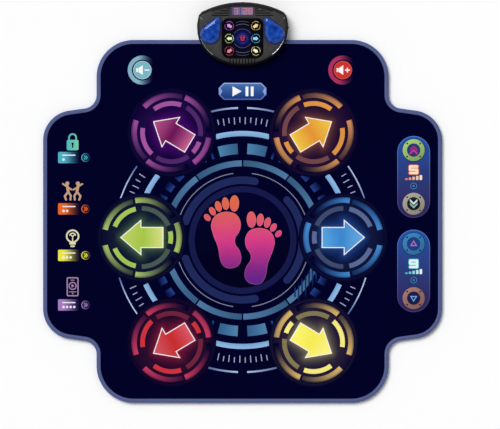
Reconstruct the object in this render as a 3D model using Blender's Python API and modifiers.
# Dance mat controller: a layered step mat with a battery console clamped to its rear edge.
# Units are metres. +Z is up and +Y points to the rear edge, where the console sits.
# The origin is on the floor, at the middle of the footprint.

import math

import bmesh
import bpy
from mathutils import Matrix, Vector

# Running and seating gaps
GAP = 0.0003
LOOSE_GAP = 0.0006

# Plan of the mat
MAT_WIDTH = 0.910
MAT_DEPTH = 0.8275
BLOCK_WIDTH = 0.666
NECK_FROM_FRONT = 0.1377
NECK_FROM_REAR = 0.1526
SHOULDER_RISE = 0.0170
CORNER_RADIUS = 0.0845
LOBE_RADIUS = 0.0685
NECK_RADIUS = 0.031
CORNER_STEPS = 5

# Layers of the mat, from the floor up
BASE_THICKNESS = 0.0020
FILM_THICKNESS = 0.0003
SPACER_THICKNESS = 0.0015
FOAM_THICKNESS = 0.0020
COVER_THICKNESS = 0.0008
BINDING_THICKNESS = 0.0008
BINDING_WIDTH = 0.0085
RIM_LAP = 0.003

# Pads
FRONT_ROW_FROM_FRONT = 0.1375
REAR_ROW_FROM_REAR = 0.2112
PAD_PROUD = 0.0006
ARROW_PAD_RADIUS = 0.094
ARROW_PAD_SIDES = 24
CORNER_PAD_FROM_BLOCK_SIDE = 0.1712
SIDE_PAD_FROM_SIDE = 0.2252
START_LENGTH = 0.111
START_WIDTH = 0.041
START_CHAMFER = 0.0125
START_ROUND = 0.004
START_FROM_REAR = 0.1173
VOLUME_PAD_RADIUS = 0.035
VOLUME_X = 0.2286
VOLUME_FROM_REAR = 0.0688
MODE_PAD_RADIUS = 0.0115
MODE_FROM_SIDE = 0.0971
MODE_Y = (0.1823, 0.0652, -0.0408, -0.1539)
SETTING_PAD_RADIUS = 0.0263
SETTING_FROM_SIDE = 0.0648
SETTING_Y = (0.1993, 0.0769, -0.0145, -0.1384)
SMALL_PAD_SIDES = 12
MEDIUM_PAD_SIDES = 16

# Console case
CONSOLE_WIDTH = 0.207
CONSOLE_DEPTH = 0.1454
SHELF_DEPTH = 0.0595
FRONT_HEIGHT = 0.030
REAR_HEIGHT = 0.042
WALL = 0.0022
RIM_STEP = 0.0015
SHELL_SPLIT = 0.018
FLOOR_THICKNESS = 0.0025
FRONT_CURVE_POWER = 2.1
FRONT_CURVE_STEPS = 11
SIDE_FROM_REAR = 0.0587
SIDE_LENGTH = 0.009
SHOULDER_IN = 0.0036
SHOULDER_FROM_REAR = 0.0305
REAR_ARC_RADIUS = 0.2055
REAR_ARC_FROM_SIDE = 0.0107
REAR_ARC_STEPS = 6
TOP_ROUNDING = ((0.0, 0.0), (0.0005, 0.5), (0.0018, 0.8), (0.0042, 0.95), (0.0075, 1.0))

# Face panel, display and lights
PANEL_FROM_SIDE = 0.056
PANEL_FROM_FRONT = 0.0158
PANEL_TO_DISPLAY = 0.00605
PANEL_THICKNESS = 0.0015
PANEL_POCKET = 0.0012
PANEL_LEDGE = 0.004
PANEL_REAR_ROUND = 0.013
PANEL_FRONT_ROUND = 0.018
DISPLAY_WIDTH = 0.052
DISPLAY_DEPTH = 0.0205
DISPLAY_FROM_REAR = 0.0213
DISPLAY_ROUND = 0.003
DISPLAY_CORNER_STEPS = 3
DISPLAY_LEDGE = 0.002
DISPLAY_MODULE_HEIGHT = 0.006
ICON_BOARD_INSET = 0.002
ICON_BOARD_THICKNESS = 0.0012
ICON_LED_RADIUS = 0.0025
ICON_LED_SIDES = 8
ICON_LED_HEIGHT = 0.0011
ICON_LED_X = 0.0303
ICON_ROW_MARGIN = 0.0174
DOME_LOBE_FROM_SIDE = 0.0298
DOME_LOBE_FROM_REAR = 0.0739
DOME_LOBE_RADIUS = 0.0225
DOME_LOBE_STEPS = 15
DOME_TIP_FROM_SIDE = 0.0465
DOME_TIP_FROM_REAR = 0.0425
DOME_TIP_STEPS = 6
DOME_TIP_WEIGHT = 0.2
DOME_CROWN = ((1.0, 0.0), (0.95, 0.4), (0.83, 0.72), (0.6, 0.92), (0.3, 1.0))
DOME_TIP_RADIUS = 0.0080
DOME_WALL = 0.0015
DOME_SKIRT = 0.005
DOME_RISE = 0.0085
DOME_LED_RADIUS = 0.0025
DOME_LED_HEIGHT = 0.008
DOME_LED_FLANGE = 0.001
GRILLE_SLOTS = 9
GRILLE_PITCH = 0.007
GRILLE_SLOT_WIDTH = 0.002
GRILLE_LENGTH = 0.010
GRILLE_FROM_FRONT = 0.0095

# Batteries, boards and sound
CELL_RADIUS = 0.00725
CELL_LENGTH = 0.0505
CELL_COUNT = 3
CELL_PITCH = 0.0151
CELL_ROW_FROM_REAR = 0.0407
NUB_LENGTH = 0.001
NUB_RADIUS = 0.00275
CELL_EDGE = 0.0005
CELL_SIDES = 20
SPRING_LENGTH = 0.0045
SPRING_SHARES = (0.7, 0.35)
CONTACT_THICKNESS = 0.0005
BAY_WALL = 0.0016
BAY_FRONT_ROOM = 0.0045
BAY_REAR_ROOM = 0.0015
BOARD_FROM_SIDE = 0.0215
BOARD_PAST_TAIL = 0.0035
BOARD_FROM_REAR = 0.0267
BOARD_THICKNESS = 0.0016
CHIPS = (
    ("processor", (-0.012, 0.004), 0.014, 0.014, 0.0016),
    ("driver", (0.022, -0.006), 0.012, 0.008, 0.0014),
    ("amplifier", (-0.040, 0.020), 0.010, 0.008, 0.0014),
)
SPEAKER_RADIUS = 0.018
SPEAKER_HEIGHT = 0.008
SPEAKER_RIM = 0.002
SPEAKER_SIDES = 20
SPEAKER_FROM_FRONT = 0.0237

# Battery door
DOOR_THICKNESS = 0.0020
DOOR_MARGIN = 0.0007
TONGUE_WIDTH = 0.012
TONGUE_LENGTH = 0.0085
DOOR_BOSS_RADIUS = 0.0032
DOOR_BOSS_HEIGHT = 0.008
DOOR_SCREW_LENGTH = 0.0028
TAB_WIDTH = 0.010
TAB_X = 0.020
TAB_REACH = 0.0030
TAB_THICKNESS = 0.0012

# Power switch, on the right side of the case
SWITCH_PAST_CURVE = 0.0005
SWITCH_HEIGHT = 0.0115
SWITCH_TRAVEL = 0.004
KNOB_LENGTH = 0.005
KNOB_WIDTH = 0.0036
KNOB_PROUD = 0.0014
SWITCH_BODY_LENGTH = 0.012
SWITCH_BODY_WIDTH = 0.008
SWITCH_BODY_DEPTH = 0.006

# Fasteners, clamp and feet
SCREW_RADIUS = 0.0015
SCREW_HEAD_RADIUS = 0.003
SCREW_HEAD_HEIGHT = 0.0010
SCREW_SIDES = 12
SCREW_POINT = 0.0009
SCREW_HEAD_TAPER = 0.0006
BOSS_RADIUS = 0.0035
POST_DEPTH_SHARE = 0.75
CLAMP_FROM_SIDE = 0.0235
CLAMP_WIDTH = 0.018
CLAMP_FROM_MAT_EDGE = 0.0258
CLAMP_SCREW_FROM_END = 0.010
CLAMP_INNER_SHARE = 0.4
CLAMP_BOSS_HEIGHT = 0.0045
REAR_SCREW_FROM_SIDE = 0.0415
REAR_SCREW_FROM_REAR = 0.0207
FRONT_SCREW_FROM_SIDE = 0.0455
FRONT_SCREW_FROM_FRONT = 0.0347
CASE_SCREW_BITE = 0.008
LAYER_HOLE_RADIUS = 0.0022
LAYER_HOLE_SIDES = 8
TAIL_WIDTH = 0.038
TAIL_THICKNESS = 0.0004
TAIL_FROM_MAT_EDGE = 0.0133
CONNECTOR_DEPTH = 0.005
CONNECTOR_HEIGHT = 0.004
CONNECTOR_OVERLAP = 0.003
FOOT_RADIUS = 0.007
FOOT_STAND = 0.003
FOOT_SEAT = 0.0013
FOOT_SIDES = 16
FOOT_FROM_SIDE = 0.0235
FOOT_FROM_REAR = 0.0427

# Levels that follow from the layers
FILM_LOW = BASE_THICKNESS + GAP
SPACER_LOW = FILM_LOW + FILM_THICKNESS + GAP
UPPER_FILM_LOW = SPACER_LOW + SPACER_THICKNESS + GAP
FOAM_LOW = UPPER_FILM_LOW + FILM_THICKNESS + GAP
COVER_LOW = FOAM_LOW + FOAM_THICKNESS + GAP
COVER_TOP = COVER_LOW + COVER_THICKNESS
BINDING_TOP = COVER_TOP + GAP + BINDING_THICKNESS
SHELF_LOW = BINDING_TOP + GAP
SHELF_TOP = SHELF_LOW + WALL
FLOOR_TOP = FOOT_STAND + FLOOR_THICKNESS
DOOR_TOP = FOOT_STAND + DOOR_THICKNESS
CELL_Z = DOOR_TOP + LOOSE_GAP + CELL_RADIUS
BAY_TOP = CELL_Z + CELL_RADIUS + LOOSE_GAP
BOARD_LOW = BAY_TOP + GAP
BOARD_TOP = BOARD_LOW + BOARD_THICKNESS
SHELL_LOW = SHELL_SPLIT + GAP
CASE_SCREW_TIP = SHELL_LOW + CASE_SCREW_BITE

# Places that follow from the plan
CONSOLE_OVERHANG = CONSOLE_DEPTH - SHELF_DEPTH
MAT_FRONT = -(MAT_DEPTH + CONSOLE_OVERHANG) / 2
MAT_REAR = MAT_FRONT + MAT_DEPTH
CONSOLE_Y = MAT_REAR + CONSOLE_OVERHANG - CONSOLE_DEPTH / 2
FRONT_ROW = MAT_FRONT + FRONT_ROW_FROM_FRONT
REAR_ROW = MAT_REAR - REAR_ROW_FROM_REAR
HUB_Y = (FRONT_ROW + REAR_ROW) / 2
CORNER_PAD_X = BLOCK_WIDTH / 2 - CORNER_PAD_FROM_BLOCK_SIDE
SIDE_PAD_X = MAT_WIDTH / 2 - SIDE_PAD_FROM_SIDE
MAT_EDGE = MAT_REAR - CONSOLE_Y
TUB_FRONT = MAT_EDGE + LOOSE_GAP
CASE_FRONT = -CONSOLE_DEPTH / 2
CASE_REAR = CONSOLE_DEPTH / 2
SIDE_Y = CASE_REAR - SIDE_FROM_REAR
FRONT_CURVE_DEPTH = SIDE_Y - CASE_FRONT
CASE_SIDE = CONSOLE_WIDTH / 2
REAR_ARC_HALF_WIDTH = CASE_SIDE - REAR_ARC_FROM_SIDE
DOME_LOBE_X = CASE_SIDE - DOME_LOBE_FROM_SIDE
DOME_LOBE_Y = CASE_REAR - DOME_LOBE_FROM_REAR
DOME_TIP_X = CASE_SIDE - DOME_TIP_FROM_SIDE
DOME_TIP_Y = CASE_REAR - DOME_TIP_FROM_REAR
PANEL_HALF_WIDTH = CASE_SIDE - PANEL_FROM_SIDE
DISPLAY_OFFSET = CASE_REAR - DISPLAY_FROM_REAR
PANEL_FRONT = CASE_FRONT + PANEL_FROM_FRONT
PANEL_REAR = DISPLAY_OFFSET - DISPLAY_DEPTH / 2 - PANEL_TO_DISPLAY
ICON_ROWS = (PANEL_REAR - ICON_ROW_MARGIN, (PANEL_FRONT + PANEL_REAR) / 2, PANEL_FRONT + ICON_ROW_MARGIN)
CELL_ROW_Y = CASE_REAR - CELL_ROW_FROM_REAR
SPEAKER_Y = CASE_FRONT + SPEAKER_FROM_FRONT
SWITCH_Y = SIDE_Y + SWITCH_PAST_CURVE
FOOT_X = CASE_SIDE - FOOT_FROM_SIDE
FOOT_Y = CASE_REAR - FOOT_FROM_REAR
CLAMP_END = CASE_SIDE - CLAMP_FROM_SIDE
CLAMP_OUTER_X = CLAMP_END - CLAMP_SCREW_FROM_END
CLAMP_INNER_X = CLAMP_OUTER_X * CLAMP_INNER_SHARE
CLAMP_SCREW_X = (-CLAMP_OUTER_X, -CLAMP_INNER_X, CLAMP_INNER_X, CLAMP_OUTER_X)
CLAMP_Y = MAT_EDGE - CLAMP_FROM_MAT_EDGE
TAIL_Y = MAT_EDGE - TAIL_FROM_MAT_EDGE
BOARD_HALF_WIDTH = CASE_SIDE - BOARD_FROM_SIDE
BOARD_FRONT = TAIL_Y - BOARD_PAST_TAIL
BOARD_REAR = CASE_REAR - BOARD_FROM_REAR
REAR_SCREW_X = CASE_SIDE - REAR_SCREW_FROM_SIDE
REAR_SCREW_Y = CASE_REAR - REAR_SCREW_FROM_REAR
FRONT_SCREW_X = CASE_SIDE - FRONT_SCREW_FROM_SIDE
FRONT_SCREW_Y = CASE_FRONT + FRONT_SCREW_FROM_FRONT
CASE_SCREWS = (
    (-REAR_SCREW_X, REAR_SCREW_Y),
    (REAR_SCREW_X, REAR_SCREW_Y),
    (-FRONT_SCREW_X, FRONT_SCREW_Y),
    (FRONT_SCREW_X, FRONT_SCREW_Y),
)
FACE_TILT = math.atan((REAR_HEIGHT - FRONT_HEIGHT) / CONSOLE_DEPTH)
FACE_Z = (FRONT_HEIGHT + REAR_HEIGHT) / 2
BAY_HALF_LENGTH = (CELL_LENGTH + SPRING_LENGTH) / 2 + 2 * GAP + CONTACT_THICKNESS + GAP
CELL_ROW_HALF = (CELL_COUNT - 1) * CELL_PITCH / 2 + CELL_RADIUS
OPENING_FRONT = CELL_ROW_Y - CELL_ROW_HALF - DOOR_MARGIN
OPENING_REAR = CELL_ROW_Y + CELL_ROW_HALF + DOOR_MARGIN
BAY_FRONT = OPENING_FRONT - BAY_FRONT_ROOM
BAY_REAR = OPENING_REAR + BAY_REAR_ROOM
HINGE_Y = OPENING_FRONT + GAP

for old in list(bpy.data.objects):
    bpy.data.objects.remove(old, do_unlink=True)

parts = bpy.data.collections.new("dance_mat_controller")
cutters = bpy.data.collections.new("cutters")
for group in (parts, cutters):
    bpy.context.scene.collection.children.link(group)


def finish(piece, colour, roughness=0.6, metallic=0.0):
    """Gives a piece its own material."""
    skin = bpy.data.materials.new(piece.name + "_finish")
    skin.use_nodes = True
    shader = skin.node_tree.nodes["Principled BSDF"]
    shader.inputs["Base Color"].default_value = (*colour, 1.0)
    shader.inputs["Roughness"].default_value = roughness
    shader.inputs["Metallic"].default_value = metallic
    piece.data.materials.clear()
    piece.data.materials.append(skin)
    return piece


def stand(name, mesh, location, group, on=None, rotation=(0.0, 0.0, 0.0)):
    """Puts a mesh in the scene as a named piece."""
    piece = bpy.data.objects.new(name, mesh)
    piece.location = location
    piece.rotation_euler = rotation
    piece.parent = on
    group.objects.link(piece)
    if group is cutters:
        piece.hide_render = True
        piece.display_type = "WIRE"
    return piece


def cut(piece, tool, operation="DIFFERENCE"):
    """Cuts a piece with a tool, or joins the tool to it."""
    change = piece.modifiers.new(tool.name, "BOOLEAN")
    change.operation = operation
    change.solver = "EXACT"
    change.object = tool


def join(piece, tool):
    cut(piece, tool, "UNION")


def box(name, low, high, group=cutters, on=None):
    """A box between two corners."""
    size = [b - a for a, b in zip(low, high)]
    middle = [(a + b) / 2 for a, b in zip(low, high)]
    mesh = bpy.data.meshes.new(name)
    build = bmesh.new()
    bmesh.ops.create_cube(build, size=1.0, matrix=Matrix.Diagonal((*size, 1.0)))
    build.to_mesh(mesh)
    build.free()
    return stand(name, mesh, middle, group, on)


def drum(name, centre, radius, low, high, group=cutters, on=None, sides=SCREW_SIDES):
    """An upright cylinder between two levels."""
    mesh = bpy.data.meshes.new(name)
    build = bmesh.new()
    bmesh.ops.create_cone(
        build, cap_ends=True, segments=sides, radius1=radius, radius2=radius, depth=high - low
    )
    build.to_mesh(mesh)
    build.free()
    return stand(name, mesh, (*centre, (low + high) / 2), group, on)


def flat(name, outline, low, high, holes=(), centre=(0.0, 0.0), group=cutters, on=None):
    """A flat piece between two levels, with holes through it."""
    curve = bpy.data.curves.new(name, "CURVE")
    curve.dimensions = "2D"
    curve.fill_mode = "BOTH"
    curve.extrude = (high - low) / 2
    for loop in (outline, *holes):
        spline = curve.splines.new("POLY")
        spline.points.add(len(loop) - 1)
        for point, (x, y) in zip(spline.points, loop):
            point.co = (x, y, 0.0, 1.0)
        spline.use_cyclic_u = True
    holder = bpy.data.objects.new(name + "_outline", curve)
    bpy.context.scene.collection.objects.link(holder)
    holder.location = (*centre, (low + high) / 2)
    bpy.context.view_layer.update()
    seen = holder.evaluated_get(bpy.context.evaluated_depsgraph_get())
    mesh = bpy.data.meshes.new_from_object(seen)
    build = bmesh.new()
    build.from_mesh(mesh)
    bmesh.ops.remove_doubles(build, verts=build.verts, dist=0.000001)
    bmesh.ops.recalc_face_normals(build, faces=build.faces)
    build.to_mesh(mesh)
    build.free()
    piece = stand(name, mesh, (0.0, 0.0, 0.0), group)
    piece.matrix_world = holder.matrix_world.copy()
    piece.parent = on
    bpy.data.objects.remove(holder, do_unlink=True)
    return piece


def turned(name, profile, location, group=parts, sides=SCREW_SIDES, rotation=(0.0, 0.0, 0.0)):
    """A turned piece, from (radius, height) points that run down its outer side."""
    mesh = bpy.data.meshes.new(name)
    points = [(radius, 0.0, height) for radius, height in profile]
    mesh.from_pydata(points, [(i, i + 1) for i in range(len(points) - 1)], [])
    piece = stand(name, mesh, location, group, rotation=rotation)
    spin = piece.modifiers.new("turn", "SCREW")
    spin.steps = sides
    spin.render_steps = sides
    spin.use_merge_vertices = True
    spin.merge_threshold = 0.00001
    spin.use_smooth_shade = True
    return piece


def circle(radius, sides, centre=(0.0, 0.0)):
    turns = [2 * math.pi * i / sides for i in range(sides)]
    return [(centre[0] + radius * math.cos(t), centre[1] + radius * math.sin(t)) for t in turns]


def rounded(corners, inset=0.0, steps=CORNER_STEPS):
    """A closed outline through (x, y, radius) corners, set in from its edge by inset."""
    loop = []
    for i, (x, y, radius) in enumerate(corners):
        here = Vector((x, y))
        enter = (here - Vector(corners[i - 1][:2])).normalized()
        leave = (Vector(corners[(i + 1) % len(corners)][:2]) - here).normalized()
        angle = math.atan2(enter.x * leave.y - enter.y * leave.x, enter.dot(leave))
        side = 1.0 if angle > 0 else -1.0
        inward = Vector((-enter.y, enter.x)) * side
        start = here - enter * radius * math.tan(abs(angle) / 2)
        centre = start + inward * radius
        spoke = -inward * (radius - side * inset)
        for step in range(steps + 1):
            point = centre + Matrix.Rotation(angle * step / steps, 2) @ spoke
            loop.append((point.x, point.y))
    return loop


def shrink(loop, inset):
    """The same closed outline, with every edge moved in by inset."""
    moved = []
    for i, (x, y) in enumerate(loop):
        here = Vector((x, y))
        enter = (here - Vector(loop[i - 1])).normalized()
        leave = (Vector(loop[(i + 1) % len(loop)]) - here).normalized()
        edge = Vector((-enter.y, enter.x))
        inward = (edge + Vector((-leave.y, leave.x))).normalized()
        point = here + inward * inset / inward.dot(edge)
        moved.append((point.x, point.y))
    return moved


def behind(loop, limit):
    """The part of a closed outline that lies behind the line y = limit."""
    kept = []
    for (x, y), (next_x, next_y) in zip(loop, loop[1:] + loop[:1]):
        if y >= limit:
            kept.append((x, y))
        if (y >= limit) != (next_y >= limit):
            share = (limit - y) / (next_y - y)
            kept.append((x + (next_x - x) * share, limit))
    return kept


def rectangle(half_width, front, rear, radius=0.0005, steps=1):
    corners = [(-half_width, front), (half_width, front), (half_width, rear), (-half_width, rear)]
    return rounded([(x, y, radius) for x, y in corners], steps=steps)


def mirrored(right_half):
    """Adds the left half to an outline's right half, which runs from front to rear."""
    return right_half + [(-point[0], *point[1:]) for point in reversed(right_half)]


def mat_corners():
    block = BLOCK_WIDTH / 2
    wing = MAT_WIDTH / 2
    neck_front = MAT_FRONT + NECK_FROM_FRONT
    neck_rear = MAT_REAR - NECK_FROM_REAR
    return mirrored(
        [
            (block, MAT_FRONT, CORNER_RADIUS),
            (block, neck_front, NECK_RADIUS),
            (wing, neck_front + SHOULDER_RISE, LOBE_RADIUS),
            (wing, neck_rear - SHOULDER_RISE, LOBE_RADIUS),
            (block, neck_rear, NECK_RADIUS),
            (block, MAT_REAR, CORNER_RADIUS),
        ]
    )


def start_corners():
    length = START_LENGTH / 2
    width = START_WIDTH / 2
    return mirrored(
        [
            (length - START_CHAMFER, -width, START_ROUND),
            (length, START_CHAMFER - width, START_ROUND),
            (length, width - START_CHAMFER, START_ROUND),
            (length - START_CHAMFER, width, START_ROUND),
        ]
    )


def console_outline():
    """The console's outline about its own centre."""
    right = []
    for step in range(FRONT_CURVE_STEPS + 1):
        turn = math.pi / 2 * step / FRONT_CURVE_STEPS
        x = CASE_SIDE * math.sin(turn) ** (2 / FRONT_CURVE_POWER)
        y = SIDE_Y - FRONT_CURVE_DEPTH * abs(math.cos(turn)) ** (2 / FRONT_CURVE_POWER)
        right.append((x, y))
    right.append((CASE_SIDE, SIDE_Y + SIDE_LENGTH))
    right.append((CASE_SIDE - SHOULDER_IN, CASE_REAR - SHOULDER_FROM_REAR))
    widest = math.asin(REAR_ARC_HALF_WIDTH / REAR_ARC_RADIUS)
    for step in range(REAR_ARC_STEPS + 1):
        turn = widest * (1 - step / REAR_ARC_STEPS)
        x = REAR_ARC_RADIUS * math.sin(turn)
        y = CASE_REAR - REAR_ARC_RADIUS * (1 - math.cos(turn))
        right.append((x, y))
    return right + [(-x, y) for x, y in reversed(right[1:-1])]


def panel_corners(inset=0.0):
    front = (PANEL_HALF_WIDTH, PANEL_FRONT, PANEL_FRONT_ROUND)
    rear = (PANEL_HALF_WIDTH, PANEL_REAR, PANEL_REAR_ROUND)
    return rounded(mirrored([front, rear]), inset)


def display_outline(inset=0.0):
    half_width = DISPLAY_WIDTH / 2
    front = DISPLAY_OFFSET - DISPLAY_DEPTH / 2
    rear = DISPLAY_OFFSET + DISPLAY_DEPTH / 2
    corners = mirrored([(half_width, front, DISPLAY_ROUND), (half_width, rear, DISPLAY_ROUND)])
    return rounded(corners, inset, steps=DISPLAY_CORNER_STEPS)


def dome_outline(side, grow=0.0):
    """The teardrop of a light dome: its round lobe and its tip, joined by two tangents."""
    lobe = Vector((DOME_LOBE_X, DOME_LOBE_Y))
    tip = Vector((DOME_TIP_X, DOME_TIP_Y))
    reach = (tip - lobe).length
    heading = math.atan2(tip.y - lobe.y, tip.x - lobe.x)
    spread = math.acos((DOME_LOBE_RADIUS - DOME_TIP_RADIUS) / reach)
    loop = []
    for centre, radius, first, last, steps in (
        (lobe, DOME_LOBE_RADIUS, heading + spread, heading - spread + 2 * math.pi, DOME_LOBE_STEPS),
        (tip, DOME_TIP_RADIUS, heading - spread, heading + spread, DOME_TIP_STEPS),
    ):
        for step in range(steps + 1):
            turn = first + (last - first) * step / steps
            reach_out = radius + grow
            loop.append(
                (centre.x + reach_out * math.cos(turn), centre.y + reach_out * math.sin(turn))
            )
    if side < 0:
        loop = [(-x, y) for x, y in reversed(loop)]
    return loop


def face_level(y):
    """Height of the console's sloping face above the floor, at a place on it."""
    return FACE_Z + y * math.tan(FACE_TILT)


def loft(name, rings, location, group=parts, on=None):
    """An open skin through rings with the same number of points, closed over its last ring."""
    mesh = bpy.data.meshes.new(name)
    build = bmesh.new()
    rows = [[build.verts.new(point) for point in ring] for ring in rings]
    for lower, upper in zip(rows, rows[1:]):
        for i in range(len(lower)):
            j = (i + 1) % len(lower)
            build.faces.new((lower[i], lower[j], upper[j], upper[i]))
    build.faces.new(rows[-1])
    build.to_mesh(mesh)
    build.free()
    mesh.shade_smooth()
    mesh.set_sharp_from_angle(angle=math.radians(30))
    return stand(name, mesh, location, group, on)


def thicken(piece, wall):
    shell = piece.modifiers.new("wall", "SOLIDIFY")
    shell.thickness = wall
    shell.offset = -1.0
    shell.use_even_offset = True


def screw_profile(head_low, tip):
    """A pan-head screw that points up, from its tip down to its head."""
    return (
        (0.0, tip),
        (SCREW_RADIUS - SCREW_POINT, tip),
        (SCREW_RADIUS, tip - SCREW_POINT),
        (SCREW_RADIUS, head_low + SCREW_HEAD_HEIGHT),
        (SCREW_HEAD_RADIUS, head_low + SCREW_HEAD_HEIGHT),
        (SCREW_HEAD_RADIUS - SCREW_HEAD_TAPER, head_low),
        (0.0, head_low),
    )


face = bpy.data.objects.new("console_face", None)
face.location = (0.0, CONSOLE_Y, FACE_Z)
face.rotation_euler = (FACE_TILT, 0.0, 0.0)
parts.objects.link(face)

case = bpy.data.objects.new("console_case", None)
case.location = (0.0, CONSOLE_Y, 0.0)
parts.objects.link(case)


def pad_plan():
    """Each pad's name, place, outline (a function of how far it is grown) and colour."""

    def round_pad(radius, sides):
        def shape(grow, fine=True):
            if fine:
                return circle(radius + grow, sides)
            return circle((radius + grow) / math.cos(2 * math.pi / sides), sides // 2)

        return shape

    def start_shape(grow, fine=True):
        return rounded(start_corners(), inset=-grow, steps=2 if fine else 1)

    arrow = round_pad(ARROW_PAD_RADIUS, ARROW_PAD_SIDES)
    volume = round_pad(VOLUME_PAD_RADIUS, MEDIUM_PAD_SIDES)
    mode = round_pad(MODE_PAD_RADIUS, SMALL_PAD_SIDES)
    setting = round_pad(SETTING_PAD_RADIUS, MEDIUM_PAD_SIDES)
    pads = [
        ("pad_arrow_rear_left", (-CORNER_PAD_X, REAR_ROW), arrow, (0.35, 0.05, 0.32)),
        ("pad_arrow_rear_right", (CORNER_PAD_X, REAR_ROW), arrow, (0.86, 0.32, 0.02)),
        ("pad_arrow_left", (-SIDE_PAD_X, HUB_Y), arrow, (0.38, 0.60, 0.05)),
        ("pad_arrow_right", (SIDE_PAD_X, HUB_Y), arrow, (0.03, 0.24, 0.69)),
        ("pad_arrow_front_left", (-CORNER_PAD_X, FRONT_ROW), arrow, (0.74, 0.03, 0.03)),
        ("pad_arrow_front_right", (CORNER_PAD_X, FRONT_ROW), arrow, (0.93, 0.82, 0.05)),
        ("pad_start", (0.0, MAT_REAR - START_FROM_REAR), start_shape, (0.05, 0.20, 0.60)),
    ]
    volume_y = MAT_REAR - VOLUME_FROM_REAR
    pads.append(("pad_volume_down", (-VOLUME_X, volume_y), volume, (0.15, 0.55, 0.60)))
    pads.append(("pad_volume_up", (VOLUME_X, volume_y), volume, (0.72, 0.03, 0.03)))
    mode_x = MODE_FROM_SIDE - MAT_WIDTH / 2
    for number, y in enumerate(MODE_Y, start=1):
        pads.append((f"pad_mode_{number}", (mode_x, HUB_Y + y), mode, (0.45, 0.45, 0.30)))
    setting_x = MAT_WIDTH / 2 - SETTING_FROM_SIDE
    names = ("pad_speed_up", "pad_speed_down", "pad_level_up", "pad_level_down")
    for name, y in zip(names, SETTING_Y):
        pads.append((name, (setting_x, HUB_Y + y), setting, (0.30, 0.35, 0.55)))
    return pads


def make_mat():
    """The mat's layers, its binding and its pads."""
    corners = mat_corners()
    layer_inset = BINDING_THICKNESS + GAP
    layer = rounded(corners, layer_inset)
    windows = []
    hidden_windows = []
    for name, (x, y), shape, _ in pad_plan():
        windows.append([(x + dx, y + dy) for dx, dy in shape(GAP)])
        hidden_windows.append([(x + dx, y + dy) for dx, dy in shape(LOOSE_GAP, fine=False)])
    screw_holes = [
        circle(LAYER_HOLE_RADIUS, LAYER_HOLE_SIDES, (x, CONSOLE_Y + CLAMP_Y)) for x in CLAMP_SCREW_X
    ]
    tail_slot = rectangle(
        TAIL_WIDTH / 2 + LOOSE_GAP,
        CONSOLE_Y + TAIL_Y - TAIL_THICKNESS / 2 - LOOSE_GAP,
        CONSOLE_Y + TAIL_Y + TAIL_THICKNESS / 2 + LOOSE_GAP,
    )
    bar_window = rectangle(
        CLAMP_END + GAP,
        CONSOLE_Y + CLAMP_Y - CLAMP_WIDTH / 2 - GAP,
        CONSOLE_Y + CLAMP_Y + CLAMP_WIDTH / 2 + GAP,
    )

    base = flat(
        "base_sheet",
        rounded(corners, BINDING_WIDTH + GAP),
        0.0,
        BASE_THICKNESS,
        [bar_window],
        group=parts,
    )
    rim = flat(
        "base_rim",
        layer,
        BINDING_THICKNESS + GAP,
        BASE_THICKNESS,
        [rounded(corners, BINDING_WIDTH + RIM_LAP)],
    )
    join(base, rim)
    finish(base, (0.02, 0.02, 0.025), 0.8)

    inner_holes = hidden_windows + screw_holes
    film = (0.5, 0.5, 0.52)
    foam = (0.72, 0.72, 0.70)
    layers = (
        ("lower_contact_film", FILM_LOW, FILM_THICKNESS, screw_holes, film),
        ("spacer_foam", SPACER_LOW, SPACER_THICKNESS, inner_holes, foam),
        ("upper_contact_film", UPPER_FILM_LOW, FILM_THICKNESS, inner_holes, film),
        ("cushion_foam", FOAM_LOW, FOAM_THICKNESS, inner_holes + [tail_slot], foam),
        (
            "top_cover",
            COVER_LOW,
            COVER_THICKNESS,
            windows + screw_holes + [tail_slot],
            (0.004, 0.004, 0.016),
        ),
    )
    for name, low, thickness, holes, colour in layers:
        finish(flat(name, layer, low, low + thickness, holes, group=parts), colour, 0.7)

    binding = flat("edge_binding", rounded(corners), 0.0, BINDING_TOP, group=parts)
    cut(
        binding,
        flat(
            "binding_inside",
            rounded(corners, BINDING_THICKNESS),
            BINDING_THICKNESS,
            BINDING_TOP - BINDING_THICKNESS,
        ),
    )
    cut(
        binding,
        flat(
            "binding_window",
            rounded(corners, BINDING_WIDTH),
            -BINDING_THICKNESS,
            BINDING_TOP + BINDING_THICKNESS,
        ),
    )
    finish(binding, (0.08, 0.10, 0.30), 0.85)

    for name, centre, shape, colour in pad_plan():
        pad = flat(name, shape(0.0), UPPER_FILM_LOW, COVER_TOP + PAD_PROUD, centre=centre, group=parts)
        finish(pad, colour, 0.6)


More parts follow.
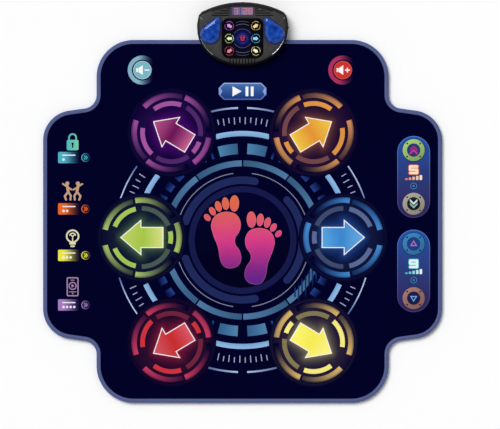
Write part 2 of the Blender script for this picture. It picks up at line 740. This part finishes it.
def make_clamp():
    """The bar, screws and contact tail that join the mat to the console."""
    bar = box(
        "clamp_bar",
        (-CLAMP_END, CLAMP_Y - CLAMP_WIDTH / 2, 0.0),
        (CLAMP_END, CLAMP_Y + CLAMP_WIDTH / 2, BASE_THICKNESS),
        parts,
        case,
    )
    finish(bar, (0.05, 0.05, 0.05), 0.5)
    recess = SCREW_HEAD_HEIGHT + 2 * GAP
    for number, x in enumerate(CLAMP_SCREW_X, start=1):
        at = (x, CLAMP_Y)
        hole = SCREW_RADIUS + GAP
        cut(bar, drum(f"bar_hole_{number}", at, hole, -WALL, BASE_THICKNESS + WALL, on=case))
        head = SCREW_HEAD_RADIUS + GAP
        cut(bar, drum(f"bar_recess_{number}", at, head, -WALL, recess, on=case))
        screw = turned(
            f"clamp_screw_{number}",
            screw_profile(GAP, SHELF_TOP + CLAMP_BOSS_HEIGHT - GAP),
            (x, CLAMP_Y, 0.0),
        )
        screw.parent = case
        finish(screw, (0.55, 0.55, 0.56), 0.3, 1.0)
    tail = box(
        "flex_tail",
        (-TAIL_WIDTH / 2, TAIL_Y - TAIL_THICKNESS / 2, FOAM_LOW),
        (TAIL_WIDTH / 2, TAIL_Y + TAIL_THICKNESS / 2, BOARD_LOW - GAP - CONNECTOR_HEIGHT - GAP),
        parts,
        case,
    )
    finish(tail, (0.75, 0.70, 0.50), 0.4)
    half = TAIL_WIDTH / 2 + CONNECTOR_OVERLAP
    connector = box(
        "film_connector",
        (-half, TAIL_Y - CONNECTOR_DEPTH / 2, BOARD_LOW - GAP - CONNECTOR_HEIGHT),
        (half, TAIL_Y + CONNECTOR_DEPTH / 2, BOARD_LOW - GAP),
        parts,
        case,
    )
    finish(connector, (0.8, 0.8, 0.78), 0.5)


def add_boss(shell, name, centre, low, high, bore_low, bore_high, radius=BOSS_RADIUS, gap=GAP):
    """A round post on a shell, with a screw's bore along it."""
    join(shell, drum(name + "_post", centre, radius, low, high, on=case))
    bore = SCREW_RADIUS + gap
    cut(shell, drum(name + "_bore", centre, bore, bore_low, bore_high, on=case))


def door_outline(grow=0.0):
    """The battery door with the tongue that its screw holds."""
    half_width = BAY_HALF_LENGTH - DOOR_MARGIN - GAP + grow
    tongue = TONGUE_WIDTH / 2 + grow
    front = HINGE_Y - grow
    rear = OPENING_REAR - GAP + grow
    end = OPENING_REAR - GAP + TONGUE_LENGTH + grow
    return mirrored([(half_width, front), (half_width, rear), (tongue, rear), (tongue, end)])


def make_bottom_shell():
    """The lower case: a shelf over the mat and a deep battery tub behind it."""
    outline = console_outline()
    reach = CONSOLE_WIDTH
    shell = flat("console_bottom_shell", outline, FOOT_STAND, SHELL_SPLIT, group=parts, on=case)
    cut(shell, box("mat_notch", (-reach, -reach, -reach), (reach, TUB_FRONT, SHELF_LOW), on=case))
    cavity = flat("cavity", shrink(outline, WALL), FLOOR_TOP, SHELL_SPLIT + WALL, on=case)
    shelf_high = (reach, TUB_FRONT + WALL, SHELF_TOP)
    cut(cavity, box("shelf_block", (-reach, -reach, -reach), shelf_high, on=case))
    cut(shell, cavity)
    cut(shell, flat("door_opening", door_outline(GAP), 0.0, FLOOR_TOP + WALL, on=case))

    bay_outer = rectangle(BAY_HALF_LENGTH + BAY_WALL, BAY_FRONT - BAY_WALL, BAY_REAR + BAY_WALL)
    bay_inner = rectangle(BAY_HALF_LENGTH, BAY_FRONT, BAY_REAR)
    join(shell, flat("bay_walls", bay_outer, DOOR_TOP + GAP, BAY_TOP, [bay_inner], on=case))
    boss_low = DOOR_TOP + 2 * GAP
    add_boss(
        shell,
        "door_boss",
        (0.0, door_screw_y()),
        boss_low,
        boss_low + DOOR_BOSS_HEIGHT,
        boss_low - WALL,
        boss_low + DOOR_BOSS_HEIGHT - WALL / 2,
        DOOR_BOSS_RADIUS,
        LOOSE_GAP,
    )

    slot = TAIL_THICKNESS / 2 + LOOSE_GAP
    cut(
        shell,
        box(
            "tail_slot",
            (-TAIL_WIDTH / 2 - LOOSE_GAP, TAIL_Y - slot, SHELF_LOW - WALL),
            (TAIL_WIDTH / 2 + LOOSE_GAP, TAIL_Y + slot, SHELF_TOP + WALL),
            on=case,
        ),
    )
    for number, x in enumerate(CLAMP_SCREW_X, start=1):
        add_boss(
            shell,
            f"clamp_boss_{number}",
            (x, CLAMP_Y),
            SHELF_TOP - WALL / 2,
            SHELF_TOP + CLAMP_BOSS_HEIGHT,
            SHELF_LOW - WALL,
            SHELF_TOP + CLAMP_BOSS_HEIGHT + WALL,
        )
    for number, (x, y) in enumerate(CASE_SCREWS, start=1):
        low, seat = case_screw_levels(y)
        add_boss(
            shell,
            f"case_boss_{number}",
            (x, y),
            low + WALL / 2,
            SHELL_SPLIT,
            low - WALL,
            SHELL_SPLIT + WALL,
        )
        head = SCREW_HEAD_RADIUS + GAP
        recess = drum(f"case_recess_{number}", (x, y), head, low - WALL, seat, on=case)
        cut(shell, recess)
    for side in (-1, 1):
        seat = FOOT_RADIUS + GAP
        low = FOOT_STAND - WALL
        high = FOOT_STAND + FOOT_SEAT + GAP
        at = (side * FOOT_X, FOOT_Y)
        cut(shell, drum(f"foot_seat_{side + 2}", at, seat, low, high, on=case, sides=FOOT_SIDES))
    knob_half = KNOB_LENGTH / 2 + GAP
    cut(
        shell,
        box(
            "switch_slot",
            (CASE_SIDE - 2 * WALL, SWITCH_Y - knob_half, SWITCH_HEIGHT - KNOB_WIDTH / 2 - GAP),
            (
                CASE_SIDE + WALL,
                SWITCH_Y + knob_half + SWITCH_TRAVEL,
                SWITCH_HEIGHT + KNOB_WIDTH / 2 + GAP,
            ),
            on=case,
        ),
    )
    finish(shell, (0.012, 0.012, 0.013), 0.45)


def door_screw_y():
    return OPENING_REAR - GAP + TONGUE_LENGTH - TONGUE_WIDTH / 4


def case_screw_levels(y):
    """The shell's underside and the seat of the screw's head, at a case screw."""
    low = FOOT_STAND if y > TUB_FRONT else SHELF_LOW
    return low, low + SCREW_HEAD_HEIGHT + 2 * GAP


def make_top_shell():
    """The upper case: a sloping face with the panel, display, domes and sound slots cut in it."""
    outline = console_outline()
    rings = []
    for inset, rise in TOP_ROUNDING:
        loop = shrink(outline, RIM_STEP + inset)
        rings.append([(x, y, SHELL_LOW + rise * (face_level(y) - SHELL_LOW)) for x, y in loop])
    shell = loft("console_top_shell", rings, (0.0, 0.0, 0.0), on=case)
    thicken(shell, WALL)

    for number, (x, y) in enumerate(CASE_SCREWS, start=1):
        add_boss(
            shell,
            f"shell_post_{number}",
            (x, y),
            SHELL_LOW,
            face_level(y) - POST_DEPTH_SHARE * WALL,
            SHELL_LOW - WALL,
            CASE_SCREW_TIP + GAP,
        )
    above = 2 * DOME_RISE
    for side, word in ((-1, "left"), (1, "right")):
        hole = dome_outline(side, GAP)
        cut(shell, flat(f"dome_hole_{word}", hole, -DOME_SKIRT - 2 * WALL, above, on=face))
    cut(shell, flat("panel_pocket", panel_corners(-GAP), -PANEL_POCKET, above, on=face))
    cut(shell, flat("panel_window", panel_corners(PANEL_LEDGE), -2 * WALL, above, on=face))
    cut(shell, flat("display_pocket", display_outline(-GAP), -PANEL_POCKET, above, on=face))
    cut(shell, flat("display_hole", display_outline(DISPLAY_LEDGE), -2 * WALL, above, on=face))
    slot_y = CASE_FRONT + GRILLE_FROM_FRONT
    for number in range(GRILLE_SLOTS):
        x = (number - (GRILLE_SLOTS - 1) / 2) * GRILLE_PITCH
        low = (x - GRILLE_SLOT_WIDTH / 2, slot_y - GRILLE_LENGTH / 2, -3 * WALL)
        high = (x + GRILLE_SLOT_WIDTH / 2, slot_y + GRILLE_LENGTH / 2, 2 * WALL)
        cut(shell, box(f"sound_slot_{number + 1}", low, high, on=face))
    finish(shell, (0.042, 0.042, 0.039), 0.5)


def make_face():
    """The panel, display, light domes and the boards under them."""
    seat = GAP - PANEL_POCKET
    panel = flat("face_panel", panel_corners(), seat, seat + PANEL_THICKNESS, group=parts, on=face)
    finish(panel, (0.004, 0.004, 0.005), 0.08)
    window = flat(
        "display_window", display_outline(), seat, seat + PANEL_THICKNESS, group=parts, on=face
    )
    finish(window, (0.20, 0.16, 0.60), 0.05)
    under = -WALL - GAP
    module = box(
        "display_module",
        (
            DISPLAY_LEDGE - DISPLAY_WIDTH / 2,
            DISPLAY_OFFSET - DISPLAY_DEPTH / 2 + DISPLAY_LEDGE / 2,
            under - DISPLAY_MODULE_HEIGHT,
        ),
        (
            DISPLAY_WIDTH / 2 - DISPLAY_LEDGE,
            DISPLAY_OFFSET + DISPLAY_DEPTH / 2 - DISPLAY_LEDGE / 2,
            under,
        ),
        parts,
        face,
    )
    finish(module, (0.02, 0.02, 0.02), 0.4)

    board_outline = panel_corners(ICON_BOARD_INSET)
    board = flat(
        "icon_led_board", board_outline, under - ICON_BOARD_THICKNESS, under, group=parts, on=face
    )
    for column, x in enumerate((-ICON_LED_X, ICON_LED_X)):
        for row, y in enumerate(ICON_ROWS):
            low = under - ICON_BOARD_THICKNESS / 2
            high = under + ICON_LED_HEIGHT
            name = f"icon_led_{column}_{row}"
            join(board, drum(name, (x, y), ICON_LED_RADIUS, low, high, on=face, sides=ICON_LED_SIDES))
    finish(board, (0.02, 0.12, 0.05), 0.5)

    for side, word in ((-1, "left"), (1, "right")):
        outline = dome_outline(side)
        middle_x = side * (DOME_LOBE_X + (DOME_TIP_X - DOME_LOBE_X) * DOME_TIP_WEIGHT)
        middle_y = DOME_LOBE_Y + (DOME_TIP_Y - DOME_LOBE_Y) * DOME_TIP_WEIGHT
        rings = [[(x, y, -DOME_SKIRT) for x, y in outline]]
        for spread, rise in DOME_CROWN:
            level = rise * DOME_RISE
            rings.append(
                [
                    (middle_x + (x - middle_x) * spread, middle_y + (y - middle_y) * spread, level)
                    for x, y in outline
                ]
            )
        dome = loft(f"light_dome_{word}", rings, (0.0, 0.0, 0.0), on=face)
        thicken(dome, DOME_WALL)
        finish(dome, (0.03, 0.10, 0.55), 0.1)
        low = BOARD_TOP + GAP
        led = turned(
            f"dome_led_{word}",
            (
                (0.0, DOME_LED_HEIGHT),
                (DOME_LED_RADIUS * 0.7, DOME_LED_HEIGHT - DOME_LED_RADIUS * 0.3),
                (DOME_LED_RADIUS, DOME_LED_HEIGHT - DOME_LED_RADIUS),
                (DOME_LED_RADIUS, DOME_LED_FLANGE),
                (DOME_LED_RADIUS + DOME_LED_FLANGE / 2, DOME_LED_FLANGE),
                (DOME_LED_RADIUS + DOME_LED_FLANGE / 2, 0.0),
                (0.0, 0.0),
            ),
            (side * DOME_LOBE_X, DOME_LOBE_Y, low),
        )
        led.parent = case
        finish(led, (0.5, 0.6, 0.9), 0.1)


def make_power():
    """The cells, their contacts and the battery door."""
    for number in range(CELL_COUNT):
        way = 1 if number % 2 == 0 else -1
        y = CELL_ROW_Y + (number - (CELL_COUNT - 1) / 2) * CELL_PITCH
        half = CELL_LENGTH / 2
        cell = turned(
            f"battery_cell_{number + 1}",
            (
                (0.0, half),
                (NUB_RADIUS, half),
                (NUB_RADIUS, half - NUB_LENGTH),
                (CELL_RADIUS - CELL_EDGE, half - NUB_LENGTH),
                (CELL_RADIUS, half - NUB_LENGTH - CELL_EDGE),
                (CELL_RADIUS, -half),
                (0.0, -half),
            ),
            (way * SPRING_LENGTH / 2, y, CELL_Z),
            sides=CELL_SIDES,
            rotation=(0.0, way * math.pi / 2, 0.0),
        )
        cell.parent = case
        finish(cell, (0.5, 0.35, 0.1), 0.3, 0.8)
    for side, word in ((-1, "left"), (1, "right")):
        outer = side * (BAY_HALF_LENGTH - GAP)
        inner = outer - side * CONTACT_THICKNESS
        strip = box(
            f"battery_contact_{word}",
            (min(outer, inner), BAY_FRONT + GAP * 2, FLOOR_TOP + GAP),
            (max(outer, inner), BAY_REAR - GAP * 2, BAY_TOP - LOOSE_GAP),
            parts,
            case,
        )
        for number in range(CELL_COUNT):
            way = 1 if number % 2 == 0 else -1
            if way == side:
                continue
            y = CELL_ROW_Y + (number - (CELL_COUNT - 1) / 2) * CELL_PITCH
            length = SPRING_LENGTH + CONTACT_THICKNESS / 2
            mesh = bpy.data.meshes.new("spring")
            build = bmesh.new()
            bmesh.ops.create_cone(
                build,
                cap_ends=True,
                segments=SCREW_SIDES,
                radius1=CELL_RADIUS * SPRING_SHARES[0],
                radius2=CELL_RADIUS * SPRING_SHARES[1],
                depth=length,
            )
            build.to_mesh(mesh)
            build.free()
            middle = outer - side * (CONTACT_THICKNESS / 2 + length / 2)
            turn = (0.0, -side * math.pi / 2, 0.0)
            spring = stand(f"spring_{word}_{number}", mesh, (middle, y, CELL_Z), cutters, case, turn)
            join(strip, spring)
        finish(strip, (0.6, 0.6, 0.6), 0.3, 1.0)

    hinge = bpy.data.objects.new("battery_door_hinge", None)
    hinge.location = (0.0, HINGE_Y, FOOT_STAND)
    hinge.parent = case
    parts.objects.link(hinge)
    outline = [(x, y - HINGE_Y) for x, y in door_outline()]
    door = flat("battery_door", outline, 0.0, DOOR_THICKNESS, group=parts, on=hinge)
    riser = BAY_FRONT_ROOM / 3
    tab_low = FLOOR_THICKNESS + GAP
    for side in (-1, 1):
        left = side * TAB_X - TAB_WIDTH / 2
        right = side * TAB_X + TAB_WIDTH / 2
        top = tab_low + TAB_THICKNESS
        low = (left, 0.0, DOOR_THICKNESS / 2)
        join(door, box(f"riser_{side + 2}", low, (right, riser, top), on=hinge))
        join(door, box(f"tab_{side + 2}", (left, -TAB_REACH, tab_low), (right, riser, top), on=hinge))
    at = (0.0, door_screw_y() - HINGE_Y)
    hole = SCREW_RADIUS + GAP
    recess = SCREW_HEAD_HEIGHT + 2 * GAP
    cut(door, drum("door_hole", at, hole, -WALL, DOOR_THICKNESS + WALL, on=hinge))
    cut(door, drum("door_recess", at, SCREW_HEAD_RADIUS + GAP, -WALL, recess, on=hinge))
    finish(door, (0.012, 0.012, 0.013), 0.45)
    tip = DOOR_THICKNESS + DOOR_SCREW_LENGTH
    screw = turned("battery_door_screw", screw_profile(GAP, tip), (*at, 0.0))
    screw.parent = hinge
    finish(screw, (0.55, 0.55, 0.56), 0.3, 1.0)


def make_electronics():
    """The main board, the speaker and the power switch."""
    board = box(
        "main_board",
        (-BOARD_HALF_WIDTH, BOARD_FRONT, BOARD_LOW),
        (BOARD_HALF_WIDTH, BOARD_REAR, BOARD_TOP),
        parts,
        case,
    )
    for name, (x, y), width, depth, height in CHIPS:
        low = (x - width / 2, y - depth / 2, BOARD_TOP - BOARD_THICKNESS / 2)
        join(board, box(name, low, (x + width / 2, y + depth / 2, BOARD_TOP + height), on=case))
    finish(board, (0.02, 0.12, 0.05), 0.5)

    speaker = turned(
        "speaker",
        (
            (0.0, SPEAKER_HEIGHT - SPEAKER_RIM * 0.5),
            (SPEAKER_RADIUS * 0.35, SPEAKER_HEIGHT - SPEAKER_RIM),
            (SPEAKER_RADIUS * 0.85, SPEAKER_HEIGHT - SPEAKER_RIM * 0.3),
            (SPEAKER_RADIUS * 0.9, SPEAKER_HEIGHT),
            (SPEAKER_RADIUS, SPEAKER_HEIGHT),
            (SPEAKER_RADIUS, SPEAKER_HEIGHT - SPEAKER_RIM),
            (SPEAKER_RADIUS * 0.6, SPEAKER_RIM),
            (SPEAKER_RADIUS * 0.6, 0.0),
            (0.0, 0.0),
        ),
        (0.0, SPEAKER_Y, SHELF_TOP + GAP),
        sides=SPEAKER_SIDES,
    )
    speaker.parent = case
    finish(speaker, (0.02, 0.02, 0.02), 0.7)

    face_x = CASE_SIDE - WALL - GAP
    middle = SWITCH_Y + SWITCH_TRAVEL / 2
    body = box(
        "power_switch_body",
        (
            face_x - SWITCH_BODY_DEPTH,
            middle - SWITCH_BODY_LENGTH / 2,
            SWITCH_HEIGHT - SWITCH_BODY_WIDTH / 2,
        ),
        (face_x, middle + SWITCH_BODY_LENGTH / 2, SWITCH_HEIGHT + SWITCH_BODY_WIDTH / 2),
        parts,
        case,
    )
    finish(body, (0.6, 0.6, 0.62), 0.4, 0.5)
    knob = box(
        "power_switch_knob",
        (face_x + GAP, SWITCH_Y - KNOB_LENGTH / 2, SWITCH_HEIGHT - KNOB_WIDTH / 2),
        (
            CASE_SIDE + KNOB_PROUD,
            SWITCH_Y + KNOB_LENGTH / 2,
            SWITCH_HEIGHT + KNOB_WIDTH / 2,
        ),
        parts,
        case,
    )
    finish(knob, (0.03, 0.03, 0.03), 0.5)


def make_fasteners():
    """The case screws and the rubber feet."""
    for number, (x, y) in enumerate(CASE_SCREWS, start=1):
        low, _ = case_screw_levels(y)
        profile = screw_profile(low + GAP, CASE_SCREW_TIP)
        screw = turned(f"case_screw_{number}", profile, (x, y, 0.0))
        screw.parent = case
        finish(screw, (0.55, 0.55, 0.56), 0.3, 1.0)
    for side, word in ((-1, "left"), (1, "right")):
        at = (side * FOOT_X, FOOT_Y)
        high = FOOT_STAND + FOOT_SEAT
        foot = drum(f"rubber_foot_{word}", at, FOOT_RADIUS, 0.0, high, parts, case, FOOT_SIDES)
        finish(foot, (0.03, 0.03, 0.03), 0.8)


make_mat()
make_clamp()
make_bottom_shell()
make_top_shell()
make_face()
make_power()
make_electronics()
make_fasteners()
